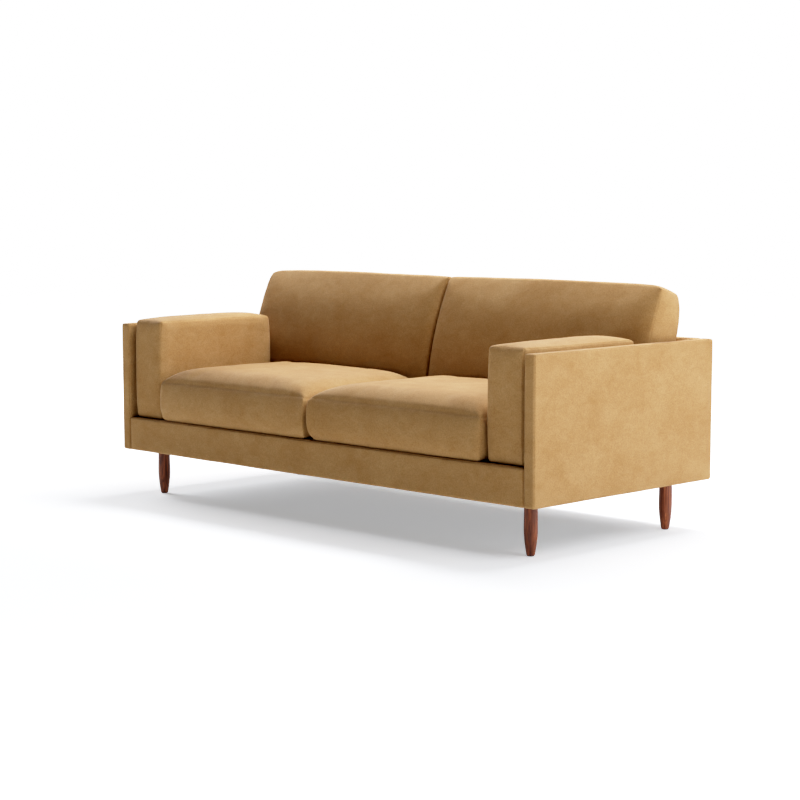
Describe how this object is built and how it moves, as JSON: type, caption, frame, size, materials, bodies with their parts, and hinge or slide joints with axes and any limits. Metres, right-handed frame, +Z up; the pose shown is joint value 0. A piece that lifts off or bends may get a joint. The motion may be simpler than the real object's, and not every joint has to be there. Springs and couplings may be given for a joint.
{
  "type": "two-seat sofa with wooden legs",
  "caption": "Low upholstered sofa with thin side and back panels, loose arm, seat and back cushions, and turned tapered wooden legs.",
  "frame": {"origin": "on the floor, under the centre of the sofa's plan", "axes": "+Z up, -Y out of the front, +X to the right of someone facing the sofa"},
  "size_m": [2.13, 0.948, 0.8691],
  "materials": {
    "velvet": "matte",
    "walnut": "satin",
    "pine": "matte",
    "beech_block": "matte",
    "foam": "matte",
    "deck_fabric": "matte",
    "pad_felt": "matte",
    "dust_cloth": "matte",
    "webbing": "matte",
    "zinc_steel": "satin",
    "spring_steel": "satin",
    "glide_plastic": "matte",
    "zip_tape": "matte",
    "zip_metal": "satin"
  },
  "bodies": {
    "frame": {"front_rail": "pine", "spring_rail": "pine", "rear_rail": "pine", "left_end_rail": "pine", "right_end_rail": "pine", "centre_braces": "pine", "leg_mounting_blocks": "beech_block", "leg_inserts": "zinc_steel", "hanger_bolts": "zinc_steel", "leg_glides": "glide_plastic", "front_left_leg": "walnut", "front_right_leg": "walnut", "rear_left_leg": "walnut", "rear_right_leg": "walnut", "front_rail_cover": "velvet", "dust_cover": "dust_cloth", "deck_pad": "pad_felt", "deck_cloth": "deck_fabric", "seat_springs": "spring_steel", "spring_clips": "zinc_steel", "spring_tie_wires": "spring_steel", "right_side_cover": "velvet", "left_side_cover": "velvet", "right_side_frame": "pine", "left_side_frame": "pine", "back_cover": "velvet", "back_frame": "pine", "side_bolts": "zinc_steel", "side_bolt_washers": "zinc_steel", "side_bolt_inserts": "zinc_steel", "back_bolts": "zinc_steel", "back_bolt_washers": "zinc_steel", "back_bolt_inserts": "zinc_steel", "inside_back_cover": "velvet", "back_ribs": "pine", "back_webbing": "webbing"},
    "arm_cushion_left": {"arm_cushion_left_cover": "velvet", "arm_cushion_left_core": "foam", "arm_cushion_left_zip": "zip_tape"},
    "arm_cushion_left_zip_slider": {"arm_cushion_left_zip_slider": "zip_metal"},
    "arm_cushion_right": {"arm_cushion_right_cover": "velvet", "arm_cushion_right_core": "foam", "arm_cushion_right_zip": "zip_tape"},
    "arm_cushion_right_zip_slider": {"arm_cushion_right_zip_slider": "zip_metal"},
    "seat_cushion_left": {"seat_cushion_left_cover": "velvet", "seat_cushion_left_core": "foam", "seat_cushion_left_zip": "zip_tape"},
    "seat_cushion_left_zip_slider": {"seat_cushion_left_zip_slider": "zip_metal"},
    "seat_cushion_right": {"seat_cushion_right_cover": "velvet", "seat_cushion_right_core": "foam", "seat_cushion_right_zip": "zip_tape"},
    "seat_cushion_right_zip_slider": {"seat_cushion_right_zip_slider": "zip_metal"},
    "back_cushion_left": {"back_cushion_left_cover": "velvet", "back_cushion_left_core": "foam", "back_cushion_left_zip": "zip_tape"},
    "back_cushion_left_zip_slider": {"back_cushion_left_zip_slider": "zip_metal"},
    "back_cushion_right": {"back_cushion_right_cover": "velvet", "back_cushion_right_core": "foam", "back_cushion_right_zip": "zip_tape"},
    "back_cushion_right_zip_slider": {"back_cushion_right_zip_slider": "zip_metal"}
  },
  "joints": [
    {"name": "arm_cushion_left_lift", "type": "slide", "parent": "frame", "child": "arm_cushion_left", "axis": [0, 0, 1], "range_m": [0, 0.6]},
    {"name": "arm_cushion_left_zip_slide", "type": "slide", "parent": "arm_cushion_left", "child": "arm_cushion_left_zip_slider", "axis": [0, 1, 0], "range_m": [0, 0.382]},
    {"name": "arm_cushion_right_lift", "type": "slide", "parent": "frame", "child": "arm_cushion_right", "axis": [0, 0, 1], "range_m": [0, 0.6]},
    {"name": "arm_cushion_right_zip_slide", "type": "slide", "parent": "arm_cushion_right", "child": "arm_cushion_right_zip_slider", "axis": [0, 1, 0], "range_m": [0, 0.382]},
    {"name": "seat_cushion_left_lift", "type": "slide", "parent": "frame", "child": "seat_cushion_left", "axis": [0, 0, 1], "range_m": [0, 0.6]},
    {"name": "seat_cushion_left_zip_slide", "type": "slide", "parent": "seat_cushion_left", "child": "seat_cushion_left_zip_slider", "axis": [-1, 0, 0], "range_m": [0, 0.602]},
    {"name": "seat_cushion_right_lift", "type": "slide", "parent": "frame", "child": "seat_cushion_right", "axis": [0, 0, 1], "range_m": [0, 0.6]},
    {"name": "seat_cushion_right_zip_slide", "type": "slide", "parent": "seat_cushion_right", "child": "seat_cushion_right_zip_slider", "axis": [1, 0, 0], "range_m": [0, 0.602]},
    {"name": "back_cushion_left_lift", "type": "slide", "parent": "frame", "child": "back_cushion_left", "axis": [0, 0, 1], "range_m": [0, 0.6]},
    {"name": "back_cushion_left_zip_slide", "type": "slide", "parent": "back_cushion_left", "child": "back_cushion_left_zip_slider", "axis": [-1, 0, 0], "range_m": [0, 0.762]},
    {"name": "back_cushion_right_lift", "type": "slide", "parent": "frame", "child": "back_cushion_right", "axis": [0, 0, 1], "range_m": [0, 0.6]},
    {"name": "back_cushion_right_zip_slide", "type": "slide", "parent": "back_cushion_right", "child": "back_cushion_right_zip_slider", "axis": [1, 0, 0], "range_m": [0, 0.762]}
  ]
}
